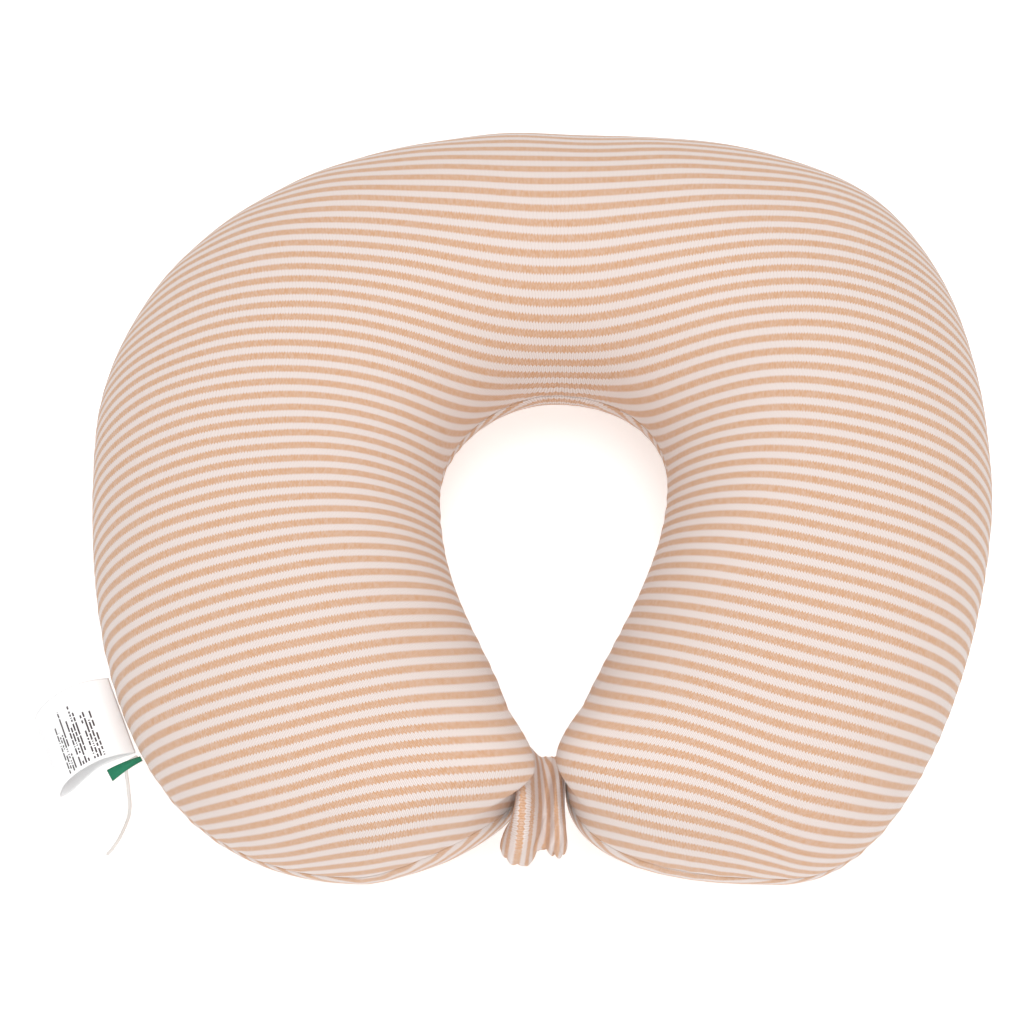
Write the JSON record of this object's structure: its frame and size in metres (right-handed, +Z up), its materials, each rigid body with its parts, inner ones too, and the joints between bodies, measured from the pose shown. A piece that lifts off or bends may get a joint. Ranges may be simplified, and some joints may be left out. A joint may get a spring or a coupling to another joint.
{
  "type": "nursing pillow",
  "caption": "U-shaped nursing pillow: fibre-filled inner pillow in a zipped striped knit cover, its arm tips joined by a short gathered elastic tie.",
  "frame": {"origin": "on the surface that the pillow lies on, under the middle of its box; the tag string is left out of that box", "axes": "+Z up, +Y from the arm tips towards the back of the U, +X towards the right arm as seen from the arm tips with the back further away"},
  "size_m": [0.575, 0.4902, 0.15],
  "materials": {
    "striped_knit": "cotton single jersey in even tan and off-white stripes, matte",
    "liner_cotton": "plain woven cotton case",
    "polyester_fibre": "loose hollow polyester fibre",
    "tape_cloth": "woven polyester zip tape, tan",
    "coil_nylon": "nylon coil, tan",
    "zip_metal": "satin nickel plate",
    "label_satin": null,
    "tab_ribbon": "green ribbon, grey-white on its back",
    "knit_elastic": "white knitted elastic",
    "cotton_cord": "white twisted cotton string"
  },
  "bodies": {
    "left_arm": {"cover_top_left": "striped_knit", "cover_bottom_left": "striped_knit", "liner_top_left": "liner_cotton", "liner_bottom_left": "liner_cotton", "fibre_fill_left": "polyester_fibre", "zip_tape_upper": "tape_cloth", "zip_tape_lower": "tape_cloth", "zip_coil_upper": "coil_nylon", "zip_coil_lower": "coil_nylon", "zip_top_stop_upper": "zip_metal", "zip_top_stop_lower": "zip_metal", "zip_bottom_stop": "zip_metal", "tie_casing": "striped_knit", "tie_elastic": "knit_elastic", "care_label": "label_satin", "seam_tab": "tab_ribbon", "tag_string": "cotton_cord"},
    "right_arm": {"cover_top_right": "striped_knit", "cover_bottom_right": "striped_knit", "liner_top_right": "liner_cotton", "liner_bottom_right": "liner_cotton", "fibre_fill_right": "polyester_fibre"},
    "slider": {"zip_slider": "zip_metal"},
    "pull": {"zip_pull": "zip_metal"}
  },
  "joints": [
    {"name": "arms_spread", "type": "hinge", "parent": "left_arm", "child": "right_arm", "pos_m": [0.02191, 0.24262, 0.07], "axis": [0, 0, 1], "range_deg": [0, 8], "stiffness_Nm_per_rad": 6, "deforming": ["tie_casing", "tie_elastic"]},
    {"name": "zip_slider", "type": "hinge", "parent": "left_arm", "child": "slider", "pos_m": [-0.00086, -0.07118, 0.07], "axis": [0, 0, 1], "range_deg": [0, 28.09]},
    {"name": "zip_pull", "type": "hinge", "parent": "slider", "child": "pull", "pos_m": [-0.01794, 0.24275, 0.07], "axis": [0, 0, 1], "range_deg": [0, 170]}
  ]
}
